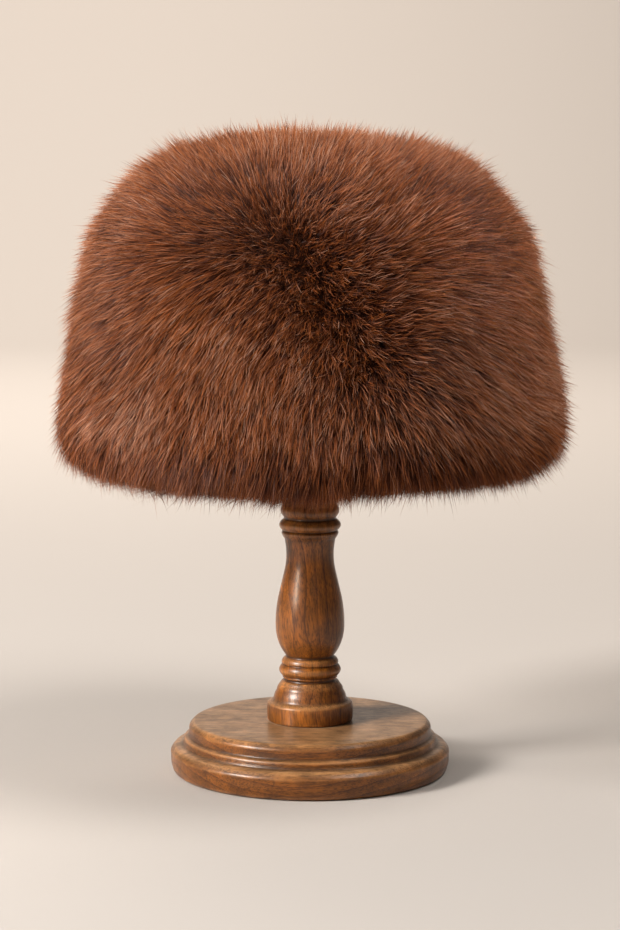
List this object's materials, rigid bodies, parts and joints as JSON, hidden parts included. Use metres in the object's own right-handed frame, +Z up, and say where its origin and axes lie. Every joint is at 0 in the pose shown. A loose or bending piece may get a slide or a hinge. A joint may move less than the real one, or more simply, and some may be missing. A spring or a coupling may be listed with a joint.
{
  "type": "fur kalpak on a turned hat stand",
  "caption": "Deep-pile fur hat with a rounded crown and a wide soft lower edge, kept in shape on a turned wooden stand with a moulded round base.",
  "frame": {"origin": "middle of the stand base's flat underside", "axes": "+Z up through the column and the crown, -Y towards the front of the hat, +X towards the right of the picture"},
  "size_m": [0.2927, 0.324, 0.3633],
  "materials": {
    "fur": "long brown hair, dark at the root and paler at the tip, with a soft shine",
    "hide": "matt tanned hide, flesh side inwards",
    "base_wood": "turned, stained brown, satin",
    "column_wood": "turned, stained brown, satin",
    "head_wood": "turned, stained brown, satin"
  },
  "bodies": {
    "root": {"fur_pile": "fur", "pelt_wall": "hide", "stand_base": "base_wood", "stand_column": "column_wood", "stand_head": "head_wood"}
  },
  "joints": []
}
